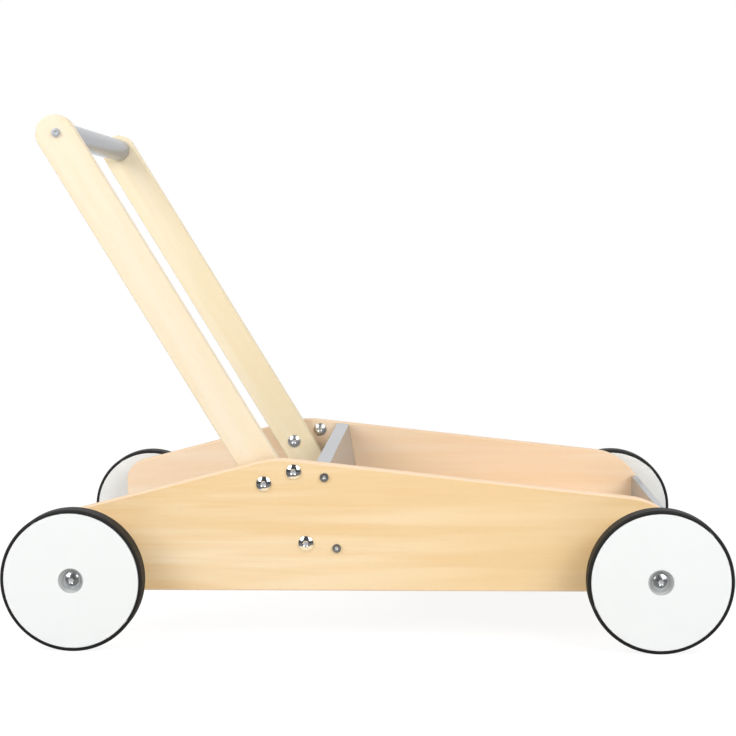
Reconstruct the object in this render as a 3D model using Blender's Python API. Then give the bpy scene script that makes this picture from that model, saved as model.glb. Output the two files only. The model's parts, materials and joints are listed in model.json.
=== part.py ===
"""A wooden baby push walker: an open box on four wheels, with a push handle that bolts at two angles.

Metres, +Z up, +X forwards. The origin lies on the ground, midway between the axles and the two sides.
"""

import math

import bmesh
import bpy
from mathutils import Matrix, Vector

# Running and assembly clearances
CLEARANCE = 0.0003          # between two pieces that touch
SWING_CLEARANCE = 0.0006    # between the upright handle and the top of the divider

# Wheels and axles
WHEEL_BASE = 0.487          # from the rear axles to the front axles
WHEEL_GAP = 0.0185          # between a wheel and its board
TYRE_RADIUS = 0.060
TYRE_DEPTH = 0.003          # rubber on the rim of the disc
TYRE_ROUNDING = 0.002       # rounded edges of the tread
WHEEL_WIDTH = 0.0165
DISC_CHAMFER = 0.0008
HUB_RECESS_GAP = 0.003      # around the bolt's head
HUB_RECESS_DEPTH = 0.005
AXLE_SHANK_RADIUS = 0.003
AXLE_HEAD_RADIUS = 0.0075
AXLE_HEAD_HEIGHT = 0.0038
AXLE_TIP_INSET = 0.001      # from the bolt's tip to the inner face of the board
BUSH_WALL = 0.0015
SPACER_RADIUS = 0.009
INSERT_WALL = 0.002

# Side boards, with heights measured from the lower edge
BOX_WIDTH = 0.290           # over the outer faces of the boards
BOARD_THICKNESS = 0.012
AXLE_ABOVE_EDGE = 0.016
REAR_OVERHANG = 0.019       # from the rear axle to the rear end
FRONT_OVERHANG = 0.0298     # from the front axle to the front end
PEAK_X = -0.077
PEAK_HEIGHT = 0.1136
REAR_SLOPE_DEG = 14.5
FRONT_SLOPE_DEG = 6.39
PEAK_ROUNDING = 0.075
REAR_ROUNDING = 0.020
FRONT_ROUNDING = 0.055
FOOT_ROUNDING = 0.008
EDGE_BEVEL = 0.0012

# Floor, divider and front panel
FLOOR_OVER_INSERT = 0.0015  # from the axle inserts to the underside of the floor
FLOOR_THICKNESS = 0.006
FLOOR_BEVEL = 0.0005
FLOOR_LIP = 0.002           # floor behind the foot of the divider
GROOVE_DEPTH = 0.004
DIVIDER_THICKNESS = 0.0112
DIVIDER_LEAN_DEG = 9.3
DIVIDER_DROP = 0.0005       # below the tops of the boards
DIVIDER_TOP_SCREW = 0.0112  # from the top of the divider to its upper screws
DIVIDER_FOOT_SCREW = 0.0078
FRONT_PANEL_THICKNESS = 0.0055
FRONT_PANEL_SETBACK = 0.0081
FRONT_PANEL_LIFT = 0.002    # above the lower edge of the boards
FRONT_SCREW_INSET = 0.010   # from the top and bottom of the front panel

# Handle
PIVOT_X = -0.050
PIVOT_HEIGHT = 0.041        # from the lower edge of the boards
HANDLE_LEAN_DEG = 31.0      # back from upright, at rest
HANDLE_STEP_DEG = 25.5      # between the two bolt holes
LOCK_RADIUS = 0.062         # from the pivot to both lock holes
LOCK_LEAD_DEG = 3.6         # the lock hole lies this far behind the handle's line
STANDOFF = 0.004            # between board and slat
SLAT_WIDTH = 0.033
SLAT_THICKNESS = 0.012
SLAT_OFFSET = 0.002         # the pivot lies this far in front of the slat's middle
BAR_DISTANCE = 0.406        # from the pivot to the bar
BAR_RADIUS = 0.0105
BAR_BEVEL = 0.001
SPACER_FLANGE = 0.005       # width of the washers between board and slat

# Fasteners
BOLT_RADIUS = 0.003
BOLT_HEAD_RADIUS = 0.00625
BOLT_HEAD_HEIGHT = 0.0032
BOLT_SOCKET = 0.002         # half the distance across the flats of the hexagon
BOLT_SOCKET_DEPTH = 0.0016
HEAD_RIM = 0.0006           # straight edge under a head's dome
SOCKET_LAND = 0.0003        # flat ring around a socket
NUT_WALL = 0.0015
NUT_GRIP = 0.0012           # how far a bolt reaches into a cap nut
NUT_SOCKET_DEPTH = 0.001
PIVOT_NUT_HEIGHT = 0.004
SCREW_RADIUS = 0.0015
SCREW_LENGTH = 0.030
SCREW_HEAD_RADIUS = 0.00375
SCREW_HEAD_HEIGHT = 0.0016
SCREW_SOCKET = 0.0011
SCREW_SOCKET_DEPTH = 0.0008

# Facets, shading and rounding
TOLERANCE = 1e-6
SMOOTH_DEG = 40             # edges flatter than this are shaded smooth
WHEEL_SEGMENTS = 40
FASTENER_SEGMENTS = 12      # a multiple of 6, for the hexagon sockets
RING_SEGMENTS = 16
BAR_SEGMENTS = 24
ARC_STEPS = 8
TREAD_STEPS = 2
DOME_STEPS = 2

# Finishes: colour as sRGB from 0 to 255, roughness, and 1 for metal
BEECH = ((244, 212, 164), 0.5, 0)
BIRCH = ((250, 235, 208), 0.5, 0)
GREY_BLUE = ((186, 192, 202), 0.55, 0)
WHITE = ((244, 244, 242), 0.4, 0)
BLACK = ((42, 42, 43), 0.7, 0)
ZINC = ((200, 202, 205), 0.25, 1)
NYLON = ((226, 226, 222), 0.45, 0)

# Levels and places worked out from the sizes above
AXLE_Z = TYRE_RADIUS * math.cos(math.pi / WHEEL_SEGMENTS)
EDGE_Z = AXLE_Z - AXLE_ABOVE_EDGE
AXLE_X = WHEEL_BASE / 2
REAR_X = -AXLE_X - REAR_OVERHANG
FRONT_X = AXLE_X + FRONT_OVERHANG
BOARD_OUT = BOX_WIDTH / 2
BOARD_IN = BOARD_OUT - BOARD_THICKNESS
SLAT_OUT = BOARD_IN - STANDOFF
SLAT_IN = SLAT_OUT - SLAT_THICKNESS
WHEEL_IN = BOARD_OUT + WHEEL_GAP
WHEEL_OUT = WHEEL_IN + WHEEL_WIDTH
HUB_RECESS_RADIUS = AXLE_HEAD_RADIUS + HUB_RECESS_GAP
DISC_RADIUS = TYRE_RADIUS - TYRE_DEPTH
BUSH_BORE = AXLE_SHANK_RADIUS + CLEARANCE
BUSH_RADIUS = BUSH_BORE + BUSH_WALL
INSERT_BORE = AXLE_SHANK_RADIUS + CLEARANCE
INSERT_RADIUS = INSERT_BORE + INSERT_WALL
FLOOR_HEIGHT = AXLE_ABOVE_EDGE + INSERT_RADIUS + FLOOR_OVER_INSERT
FLOOR_TOP = FLOOR_HEIGHT + FLOOR_THICKNESS
REAR_SLOPE = math.tan(math.radians(REAR_SLOPE_DEG))
FRONT_SLOPE = math.tan(math.radians(FRONT_SLOPE_DEG))
DIVIDER_LEAN = math.radians(DIVIDER_LEAN_DEG)
HANDLE_LEAN = math.radians(HANDLE_LEAN_DEG)
UPRIGHT_LEAN = math.radians(HANDLE_LEAN_DEG - HANDLE_STEP_DEG)
LOCK_LEAD = math.radians(LOCK_LEAD_DEG)
PIVOT = Vector((PIVOT_X, PIVOT_HEIGHT))
SIDES = {"right": -1, "left": 1}
ENDS = {"rear": -1, "front": 1}


def clear_scene():
    for item in list(bpy.data.objects):
        bpy.data.objects.remove(item, do_unlink=True)


def linear(value):
    """One sRGB channel, 0 to 255, as linear light."""
    part = value / 255
    return part / 12.92 if part <= 0.04045 else ((part + 0.055) / 1.055) ** 2.4


def material(name, colour, roughness, metallic):
    made = bpy.data.materials.new(name)
    made.use_nodes = True
    shader = made.node_tree.nodes["Principled BSDF"]
    shader.inputs["Base Color"].default_value = (*[linear(c) for c in colour], 1.0)
    shader.inputs["Roughness"].default_value = roughness
    shader.inputs["Metallic"].default_value = metallic
    return made


def empty(name, location, rotation=(0, 0, 0)):
    made = bpy.data.objects.new(name, None)
    bpy.context.collection.objects.link(made)
    made.location = location
    made.rotation_euler = rotation
    return made


def mesh_from(bm, name, smooth_angle=None):
    bmesh.ops.recalc_face_normals(bm, faces=bm.faces[:])
    mesh = bpy.data.meshes.new(name)
    bm.to_mesh(mesh)
    bm.free()
    if smooth_angle:
        mesh.shade_smooth()
        mesh.set_sharp_from_angle(angle=math.radians(smooth_angle))
    return mesh


def place(name, mesh, finish, location=(0, 0, 0), rotation=(0, 0, 0), parent=None):
    if not mesh.materials:
        mesh.materials.append(finish)
    made = bpy.data.objects.new(name, mesh)
    bpy.context.collection.objects.link(made)
    made.parent = parent
    made.location = location
    made.rotation_euler = rotation
    return made


def facing(side, outwards=True):
    """The turn that points a turned piece's +Z out of that side, or in towards the middle."""
    return (-side * math.pi / 2 if outwards else side * math.pi / 2, 0, 0)


def arc(centre, radius, start, end, steps=ARC_STEPS):
    """Points on a circle, with angles in radians counted from +X towards +Z."""
    angles = [start + (end - start) * i / steps for i in range(steps + 1)]
    return [centre + radius * Vector((math.cos(a), math.sin(a))) for a in angles]


def fillet(before, corner, after, radius):
    """The corner of an outline, rounded."""
    to_before = (before - corner).normalized()
    to_after = (after - corner).normalized()
    half = to_before.angle(to_after) / 2
    centre = corner + (to_before + to_after).normalized() * (radius / math.sin(half))
    first = corner + to_before * (radius / math.tan(half)) - centre
    last = corner + to_after * (radius / math.tan(half)) - centre
    start = math.atan2(first.y, first.x)
    sweep = math.atan2(last.y, last.x) - start
    sweep = (sweep + math.pi) % (2 * math.pi) - math.pi
    return arc(centre, radius, start, start + sweep)


def turned(profile, segments, half_step=False):
    """A closed solid turned about Z from (radius, height) points.

    half_step puts a flat where a corner would be.
    """
    bm = bmesh.new()
    first = math.pi / segments if half_step else 0.0
    points = [(r * math.cos(first), r * math.sin(first), z) for r, z in profile]
    verts = [bm.verts.new(point) for point in points]
    closes = profile[0][0] > 0
    pairs = list(zip(verts, verts[1:] + verts[:1])) if closes else list(zip(verts, verts[1:]))
    edges = [bm.edges.new(pair) for pair in pairs]
    bmesh.ops.spin(bm, geom=verts + edges, cent=(0, 0, 0), axis=(0, 0, 1), angle=2 * math.pi,
                   steps=segments, use_merge=True, use_duplicate=False)
    bmesh.ops.remove_doubles(bm, verts=bm.verts[:], dist=TOLERANCE)
    return bm


def ring(name, inner, outer, low, high):
    profile = [(inner, high), (outer, high), (outer, low), (inner, low)]
    return mesh_from(turned(profile, RING_SEGMENTS), name, SMOOTH_DEG)


def plate(name, outline, low, high, bevel=EDGE_BEVEL):
    """An outline in X and Z, extruded along Y, with its rims eased."""
    bm = bmesh.new()
    face = bm.faces.new([bm.verts.new((p.x, low, p.y)) for p in outline])
    grown = bmesh.ops.extrude_face_region(bm, geom=[face])
    moved = [item for item in grown["geom"] if isinstance(item, bmesh.types.BMVert)]
    bmesh.ops.translate(bm, verts=moved, vec=(0, high - low, 0))
    rims = [e for e in bm.edges if abs(e.verts[0].co.y - e.verts[1].co.y) < TOLERANCE]
    bmesh.ops.bevel(bm, geom=rims, offset=bevel, segments=1, profile=0.5, affect='EDGES', material=-1)
    return mesh_from(bm, name)


def drilled(target, holes, slots=()):
    """Cuts round holes along Y, each (x, z, radius, low, high), and box slots, each two corners."""
    bm = bmesh.new()
    for x, z, radius, low, high in holes:
        spot = Matrix.Translation((x, (low + high) / 2, z)) @ Matrix.Rotation(math.pi / 2, 4, 'X')
        bmesh.ops.create_cone(bm, cap_ends=True, segments=FASTENER_SEGMENTS, radius1=radius, radius2=radius,
                              depth=high - low, matrix=spot)
    for low, high in slots:
        middle = (Vector(low) + Vector(high)) / 2
        size = Vector(high) - Vector(low)
        spot = Matrix.Translation(middle) @ Matrix.Diagonal((*size, 1))
        bmesh.ops.create_cube(bm, size=1, matrix=spot)
    cutter = bpy.data.objects.new(target.name + "_drills", mesh_from(bm, target.name + "_drills"))
    bpy.context.collection.objects.link(cutter)
    cutter.parent = target
    cutter.hide_render = True
    cutter.display_type = 'WIRE'
    cut = target.modifiers.new("drills", 'BOOLEAN')
    cut.operation = 'DIFFERENCE'
    cut.solver = 'EXACT'
    cut.object = cutter


def button_head(name, radius, height, shank, length, socket, depth, bore=0.0, bore_depth=0.0):
    """A low domed head on a shank, with a hexagon socket; a bore makes it a sleeve or a cap nut.

    The underside of the head is at z = 0, and the shank runs down from it.
    """
    rise = height - HEAD_RIM
    sphere = (radius ** 2 + rise ** 2) / (2 * rise)
    turn = math.asin(radius / sphere)
    inner = math.asin((socket / math.cos(math.pi / 6) + SOCKET_LAND) / sphere)
    angles = [inner + (turn - inner) * i / DOME_STEPS for i in range(DOME_STEPS + 1)]
    dome = [(sphere * math.sin(a), height - sphere * (1 - math.cos(a))) for a in angles]
    floor = height - depth
    mouth = dome[0][1]
    profile = [(0, floor), (socket, floor), (socket, mouth)] + dome + [(radius, 0)]
    if length:
        profile += [(shank, 0), (shank, -length)]
    if bore:
        profile += [(bore, -length), (bore, bore_depth - length), (0, bore_depth - length)]
    else:
        profile += [(0, -length)]
    bm = turned(profile, FASTENER_SEGMENTS)
    for vert in bm.verts:
        reach = math.hypot(vert.co.x, vert.co.y)
        if abs(reach - socket) < TOLERANCE and vert.co.z > floor - TOLERANCE:
            angle = math.atan2(vert.co.y, vert.co.x) % (math.pi / 3) - math.pi / 6
            vert.co.xy = vert.co.xy / math.cos(angle)
    return mesh_from(bm, name, SMOOTH_DEG)


def board_top(x):
    """Height of a side board's straight front slope."""
    return PEAK_HEIGHT - FRONT_SLOPE * (x - PEAK_X)


def front_rounding():
    """Radius of the front end, limited by the height of the board there."""
    half_angle = math.radians(90 + FRONT_SLOPE_DEG) / 2
    return min(FRONT_ROUNDING, (board_top(FRONT_X) - FOOT_ROUNDING) * math.tan(half_angle) - CLEARANCE)


def front_curve(x):
    """Height of a side board's rounded front end."""
    radius = front_rounding()
    centre_x = FRONT_X - radius
    centre = board_top(centre_x) - radius / math.cos(math.radians(FRONT_SLOPE_DEG))
    return centre + math.sqrt(radius ** 2 - (x - centre_x) ** 2)


def board_outline():
    rear_top = Vector((REAR_X, PEAK_HEIGHT - REAR_SLOPE * (PEAK_X - REAR_X)))
    peak = Vector((PEAK_X, PEAK_HEIGHT))
    front_top = Vector((FRONT_X, board_top(FRONT_X)))
    front_foot = Vector((FRONT_X, 0))
    rear_foot = Vector((REAR_X, 0))
    corners = [rear_foot, rear_top, peak, front_top, front_foot]
    radii = [FOOT_ROUNDING, REAR_ROUNDING, PEAK_ROUNDING, front_rounding(), FOOT_ROUNDING]
    outline = []
    for i, radius in enumerate(radii):
        outline += fillet(corners[i - 1], corners[i], corners[(i + 1) % len(corners)], radius)
    return outline


def divider_corners():
    """The divider's rear top corner stands clear of the upright slat; its top follows the boards."""
    reach = SLAT_WIDTH / 2 - SLAT_OFFSET + SWING_CLEARANCE
    level = PEAK_HEIGHT + FRONT_SLOPE * PEAK_X - DIVIDER_DROP - PIVOT.y
    across = math.cos(UPRIGHT_LEAN)
    along = math.sin(UPRIGHT_LEAN)
    rear_x = (reach + PIVOT.x * across - level * along) / (across - FRONT_SLOPE * along)
    slant = math.tan(DIVIDER_LEAN)
    width = DIVIDER_THICKNESS / math.cos(DIVIDER_LEAN)
    foot = FLOOR_TOP + CLEARANCE
    rear_top = Vector((rear_x, board_top(rear_x) - DIVIDER_DROP))
    rear_foot = Vector((rear_x + slant * (rear_top.y - foot), foot))
    front_foot = rear_foot + Vector((width, 0))
    front_x = rear_x + width / (1 - slant * FRONT_SLOPE)
    front_top = Vector((front_x, board_top(front_x) - DIVIDER_DROP))
    return rear_foot, rear_top, front_top, front_foot


def divider_screws():
    """Centres of the divider's upper and lower screws, on its middle plane."""
    rear_foot, rear_top, front_top, front_foot = divider_corners()
    top = (rear_top + front_top) / 2
    foot = (rear_foot + front_foot) / 2
    down = (foot - top).normalized()
    return top + down * DIVIDER_TOP_SCREW, foot - down * DIVIDER_FOOT_SCREW


def front_panel_span():
    """Inner face, outer face, bottom and top of the front panel."""
    outer = FRONT_X - FRONT_PANEL_SETBACK
    inner = outer - FRONT_PANEL_THICKNESS
    return inner, outer, FRONT_PANEL_LIFT, front_curve(outer)


def front_screws():
    inner, outer, bottom, top = front_panel_span()
    middle = (inner + outer) / 2
    return Vector((middle, top - FRONT_SCREW_INSET)), Vector((middle, bottom + FRONT_SCREW_INSET))


def lock_hole(lean):
    """A lock hole in the boards, for a handle that leans back by this much."""
    angle = lean + LOCK_LEAD
    return PIVOT + LOCK_RADIUS * Vector((-math.sin(angle), math.cos(angle)))


def floor_span():
    """Rear and front end of the floor."""
    return divider_corners()[0].x - FLOOR_LIP, front_panel_span()[0] - CLEARANCE


def make_boards(finish):
    holes = [(end * AXLE_X, AXLE_ABOVE_EDGE, INSERT_RADIUS + CLEARANCE) for end in ENDS.values()]
    bolts = [PIVOT, lock_hole(HANDLE_LEAN), lock_hole(UPRIGHT_LEAN)]
    holes += [(spot.x, spot.y, BOLT_RADIUS + CLEARANCE) for spot in bolts]
    screws = [*divider_screws(), *front_screws()]
    holes += [(spot.x, spot.y, SCREW_RADIUS + CLEARANCE) for spot in screws]
    half = BOARD_THICKNESS / 2
    outline = board_outline()
    rear, front = floor_span()
    for word, side in SIDES.items():
        name = word + "_side_board"
        board = place(name, plate(name, outline, -half, half), finish, (0, side * (BOARD_OUT - half), EDGE_Z))
        bottom = side * (GROOVE_DEPTH - half)
        mouth = -side * BOARD_THICKNESS
        low = (rear - CLEARANCE, min(bottom, mouth), FLOOR_HEIGHT - CLEARANCE)
        high = (front + CLEARANCE, max(bottom, mouth), FLOOR_TOP + CLEARANCE)
        through = [(*hole, -BOARD_THICKNESS, BOARD_THICKNESS) for hole in holes]
        drilled(board, through, [(low, high)])


def make_floor(finish):
    rear, front = floor_span()
    reach = BOARD_IN + GROOVE_DEPTH - CLEARANCE
    corners = [(rear, 0), (rear, FLOOR_THICKNESS), (front, FLOOR_THICKNESS), (front, 0)]
    outline = [Vector(corner) for corner in corners]
    place("floor_panel", plate("floor_panel", outline, -reach, reach, FLOOR_BEVEL), finish,
          (0, 0, EDGE_Z + FLOOR_HEIGHT))


def screw_sockets(spots):
    """Blind holes for screws in both ends of a panel that spans the box."""
    depth = BOARD_OUT - SCREW_LENGTH - CLEARANCE
    past = BOARD_OUT
    radius = SCREW_RADIUS + CLEARANCE
    holes = [(spot.x, spot.y, radius, -past, -depth) for spot in spots]
    return holes + [(spot.x, spot.y, radius, depth, past) for spot in spots]


def make_divider(finish):
    reach = BOARD_IN - CLEARANCE
    mesh = plate("divider_panel", list(divider_corners()), -reach, reach)
    panel = place("divider_panel", mesh, finish, (0, 0, EDGE_Z))
    drilled(panel, screw_sockets(divider_screws()))


def make_front_panel(finish):
    inner, outer, bottom, top = front_panel_span()
    reach = BOARD_IN - CLEARANCE
    corners = [(inner, bottom), (inner, top), (outer, top), (outer, bottom)]
    mesh = plate("front_panel", [Vector(corner) for corner in corners], -reach, reach)
    panel = place("front_panel", mesh, finish, (0, 0, EDGE_Z))
    drilled(panel, screw_sockets(front_screws()))


def disc_mesh():
    bore = BUSH_RADIUS + CLEARANCE
    chamfer = DISC_CHAMFER
    rim = DISC_RADIUS
    profile = [
        (bore, -HUB_RECESS_DEPTH), (HUB_RECESS_RADIUS, -HUB_RECESS_DEPTH), (HUB_RECESS_RADIUS, 0),
        (rim - chamfer, 0), (rim, -chamfer), (rim, chamfer - WHEEL_WIDTH), (rim - chamfer, -WHEEL_WIDTH),
        (bore, -WHEEL_WIDTH),
    ]
    return mesh_from(turned(profile, WHEEL_SEGMENTS, True), "wheel_disc", SMOOTH_DEG)


def tyre_mesh():
    inner = DISC_RADIUS + CLEARANCE
    shoulder = TYRE_RADIUS - TYRE_ROUNDING
    low = -WHEEL_WIDTH
    upper = arc(Vector((shoulder, -TYRE_ROUNDING)), TYRE_ROUNDING, math.pi / 2, 0, TREAD_STEPS)
    lower = arc(Vector((shoulder, low + TYRE_ROUNDING)), TYRE_ROUNDING, 0, -math.pi / 2, TREAD_STEPS)
    profile = [(inner, 0)] + [tuple(p) for p in upper + lower] + [(inner, low)]
    return mesh_from(turned(profile, WHEEL_SEGMENTS, True), "wheel_tyre", SMOOTH_DEG)


def make_wheels(white, rubber, zinc, nylon):
    disc = disc_mesh()
    tyre = tyre_mesh()
    bush = ring("wheel_bush", BUSH_BORE, BUSH_RADIUS, -WHEEL_WIDTH, -HUB_RECESS_DEPTH)
    head_seat = WHEEL_OUT - HUB_RECESS_DEPTH + CLEARANCE
    length = head_seat - BOARD_IN - AXLE_TIP_INSET
    bolt = button_head("axle_bolt", AXLE_HEAD_RADIUS, AXLE_HEAD_HEIGHT, AXLE_SHANK_RADIUS, length,
                       BOLT_SOCKET, BOLT_SOCKET_DEPTH)
    spacer_low = BOARD_OUT + CLEARANCE
    spacer_high = WHEEL_IN - CLEARANCE
    spacer = ring("axle_spacer", BUSH_BORE, SPACER_RADIUS, 0, spacer_high - spacer_low)
    insert = ring("axle_insert", INSERT_BORE, INSERT_RADIUS, 0, BOARD_THICKNESS)
    for end_word, end in ENDS.items():
        for side_word, side in SIDES.items():
            corner = f"{end_word}_{side_word}_"
            turn = facing(side)
            axle = empty(corner + "axle", (end * AXLE_X, side * WHEEL_OUT, AXLE_Z), turn)
            place(corner + "wheel_disc", disc, white, parent=axle)
            place(corner + "tyre", tyre, rubber, parent=axle)
            place(corner + "wheel_bush", bush, nylon, parent=axle)
            place(corner + "axle_bolt", bolt, zinc, (end * AXLE_X, side * head_seat, AXLE_Z), turn)
            place(corner + "axle_spacer", spacer, nylon, (end * AXLE_X, side * spacer_low, AXLE_Z), turn)
            place(corner + "axle_insert", insert, zinc, (end * AXLE_X, side * BOARD_IN, AXLE_Z), turn)


def slat_outline():
    """The slat in its own frame: pivot at the origin, bar straight above it."""
    radius = SLAT_WIDTH / 2
    top = Vector((-SLAT_OFFSET, BAR_DISTANCE))
    foot = Vector((-SLAT_OFFSET, 0))
    return arc(top, radius, math.pi, 0, 2 * ARC_STEPS) + arc(foot, radius, 0, -math.pi, 2 * ARC_STEPS)


def make_handle(wood, paint, zinc):
    axis = empty("handle_axis", (PIVOT.x, 0, EDGE_Z + PIVOT.y), (0, -HANDLE_LEAN, 0))
    half = SLAT_THICKNESS / 2
    lock = LOCK_RADIUS * Vector((-math.sin(LOCK_LEAD), math.cos(LOCK_LEAD)))
    sleeve_radius = BOLT_RADIUS + CLEARANCE + NUT_WALL
    holes = [
        (0, 0, BOLT_RADIUS + CLEARANCE), (lock.x, lock.y, sleeve_radius + CLEARANCE),
        (0, BAR_DISTANCE, SCREW_RADIUS + CLEARANCE),
    ]
    bar_half = SLAT_IN - CLEARANCE
    socket = SCREW_RADIUS + CLEARANCE
    blind = SLAT_OUT - SCREW_LENGTH - CLEARANCE
    side_profile = [(0, blind), (socket, blind), (socket, bar_half), (BAR_RADIUS - BAR_BEVEL, bar_half),
                    (BAR_RADIUS, bar_half - BAR_BEVEL)]
    profile = side_profile + [(radius, -height) for radius, height in reversed(side_profile)]
    bar = mesh_from(turned(profile, BAR_SEGMENTS), "handle_bar", SMOOTH_DEG)
    place("handle_bar", bar, paint, (0, 0, BAR_DISTANCE), facing(1), axis)
    screw = screw_mesh("bar_screw")
    sleeve = button_head("lock_sleeve_nut", BOLT_HEAD_RADIUS, BOLT_HEAD_HEIGHT, sleeve_radius, SLAT_THICKNESS,
                         BOLT_SOCKET, BOLT_SOCKET_DEPTH, BOLT_RADIUS + CLEARANCE, SLAT_THICKNESS - NUT_WALL)
    for word, side in SIDES.items():
        name = word + "_handle_slat"
        mesh = plate(name, slat_outline(), -half, half)
        slat = place(name, mesh, wood, (0, side * (SLAT_OUT - half), 0), parent=axis)
        drilled(slat, [(*hole, -SLAT_THICKNESS, SLAT_THICKNESS) for hole in holes])
        screw_spot = (0, side * (SLAT_OUT + CLEARANCE), BAR_DISTANCE)
        place(word + "_bar_screw", screw, zinc, screw_spot, facing(side), axis)
        place(word + "_lock_sleeve_nut", sleeve, zinc, (lock.x, side * (SLAT_IN - CLEARANCE), lock.y),
              facing(side, False), axis)


def screw_mesh(name):
    return button_head(name, SCREW_HEAD_RADIUS, SCREW_HEAD_HEIGHT, SCREW_RADIUS, SCREW_LENGTH,
                       SCREW_SOCKET, SCREW_SOCKET_DEPTH)


def make_handle_bolts(zinc, nylon):
    """Pivot bolts, and the bolts in the two lock holes of each board."""
    def bolt(name, length):
        return button_head(name, BOLT_HEAD_RADIUS, BOLT_HEAD_HEIGHT, BOLT_RADIUS, length,
                           BOLT_SOCKET, BOLT_SOCKET_DEPTH)

    def cap_nut(name, height):
        return button_head(name, BOLT_HEAD_RADIUS, height, 0, 0, BOLT_SOCKET, NUT_SOCKET_DEPTH,
                           BOLT_RADIUS + CLEARANCE, NUT_GRIP + CLEARANCE)

    washer_height = STANDOFF - 2 * CLEARANCE
    head_seat = BOARD_OUT + CLEARANCE
    nut_seat = SLAT_IN - CLEARANCE
    pivot_bolt = bolt("pivot_bolt", head_seat - nut_seat + NUT_GRIP)
    recline_bolt = bolt("recline_bolt", head_seat - SLAT_OUT - CLEARANCE)
    upright_bolt = bolt("upright_bolt", head_seat - BOARD_IN + CLEARANCE + NUT_GRIP)
    pivot_nut = cap_nut("pivot_nut", PIVOT_NUT_HEIGHT)
    upright_nut = cap_nut("upright_nut", washer_height)
    washer = ring("handle_washer", BOLT_RADIUS + CLEARANCE, BOLT_RADIUS + SPACER_FLANGE, 0, washer_height)
    recline = lock_hole(HANDLE_LEAN)
    upright = lock_hole(UPRIGHT_LEAN)
    for word, side in SIDES.items():
        def put(name, mesh, finish, spot, level, outwards=True):
            location = (spot.x, side * level, EDGE_Z + spot.y)
            place(f"{word}_{name}", mesh, finish, location, facing(side, outwards))

        put("pivot_bolt", pivot_bolt, zinc, PIVOT, head_seat)
        put("pivot_washer", washer, nylon, PIVOT, SLAT_OUT + CLEARANCE)
        put("pivot_nut", pivot_nut, zinc, PIVOT, nut_seat, False)
        put("recline_bolt", recline_bolt, zinc, recline, head_seat)
        put("recline_washer", washer, nylon, recline, SLAT_OUT + CLEARANCE)
        put("upright_bolt", upright_bolt, zinc, upright, head_seat)
        put("upright_nut", upright_nut, zinc, upright, BOARD_IN - CLEARANCE, False)


def make_panel_screws(zinc):
    spots = dict(zip(("divider_top", "divider_foot"), divider_screws()))
    spots.update(zip(("front_top", "front_foot"), front_screws()))
    screw = screw_mesh("panel_screw")
    for word, side in SIDES.items():
        for place_word, spot in spots.items():
            location = (spot.x, side * (BOARD_OUT + CLEARANCE), EDGE_Z + spot.y)
            place(f"{word}_{place_word}_screw", screw, zinc, location, facing(side))


def main():
    clear_scene()
    beech = material("beech_board", *BEECH)
    birch = material("birch_slat", *BIRCH)
    paint = material("grey_blue_paint", *GREY_BLUE)
    white = material("white_paint", *WHITE)
    rubber = material("black_rubber", *BLACK)
    zinc = material("zinc_steel", *ZINC)
    nylon = material("pale_nylon", *NYLON)
    make_boards(beech)
    make_floor(birch)
    make_divider(paint)
    make_front_panel(paint)
    make_wheels(white, rubber, zinc, nylon)
    make_handle(birch, paint, zinc)
    make_handle_bolts(zinc, nylon)
    make_panel_screws(zinc)


main()
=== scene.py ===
"""Finished pieces of a wooden baby push walker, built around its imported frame.

Metres, +X forwards, +Y to the child's left, +Z up, with the origin on the ground under the middle.
"""

import json
import math
from typing import NamedTuple

import bmesh
import bpy
from bpy.props import FloatProperty, FloatVectorProperty, PointerProperty
from mathutils import Matrix, Vector

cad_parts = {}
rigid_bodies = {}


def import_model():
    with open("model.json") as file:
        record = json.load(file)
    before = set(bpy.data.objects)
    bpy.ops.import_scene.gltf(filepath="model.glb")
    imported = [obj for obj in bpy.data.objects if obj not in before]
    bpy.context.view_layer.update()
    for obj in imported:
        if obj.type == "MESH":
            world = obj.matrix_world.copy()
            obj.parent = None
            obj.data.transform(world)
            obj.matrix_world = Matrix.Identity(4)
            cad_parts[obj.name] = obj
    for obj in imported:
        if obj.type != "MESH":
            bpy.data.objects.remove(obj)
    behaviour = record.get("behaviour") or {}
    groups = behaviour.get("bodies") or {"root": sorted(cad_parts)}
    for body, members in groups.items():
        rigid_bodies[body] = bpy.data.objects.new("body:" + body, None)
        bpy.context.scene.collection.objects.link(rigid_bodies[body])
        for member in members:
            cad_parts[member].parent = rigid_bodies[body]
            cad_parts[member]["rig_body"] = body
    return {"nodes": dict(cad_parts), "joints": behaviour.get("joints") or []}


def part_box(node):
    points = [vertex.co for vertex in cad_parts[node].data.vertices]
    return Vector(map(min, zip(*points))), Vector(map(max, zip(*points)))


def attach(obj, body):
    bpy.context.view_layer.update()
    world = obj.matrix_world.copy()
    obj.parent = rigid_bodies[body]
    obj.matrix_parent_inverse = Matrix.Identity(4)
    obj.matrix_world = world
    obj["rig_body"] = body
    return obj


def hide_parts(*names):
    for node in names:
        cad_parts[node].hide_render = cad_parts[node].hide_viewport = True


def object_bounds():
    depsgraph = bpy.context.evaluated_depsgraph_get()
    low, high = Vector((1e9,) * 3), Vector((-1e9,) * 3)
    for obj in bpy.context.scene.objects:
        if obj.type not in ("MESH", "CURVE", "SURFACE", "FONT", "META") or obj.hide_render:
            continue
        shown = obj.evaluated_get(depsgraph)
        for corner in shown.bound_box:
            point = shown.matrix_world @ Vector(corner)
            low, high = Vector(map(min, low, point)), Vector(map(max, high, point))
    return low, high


bl_info = {
    "name": "Baby Push Walker",
    "version": (1, 0, 0),
    "blender": (4, 5, 0),
    "location": "3D View > Sidebar > Walker",
    "description": "Models and finishes the pieces of a wooden push walker around its frame",
    "category": "Object",
}

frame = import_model()
CAD_BOX = [list(corner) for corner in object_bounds()]

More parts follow.
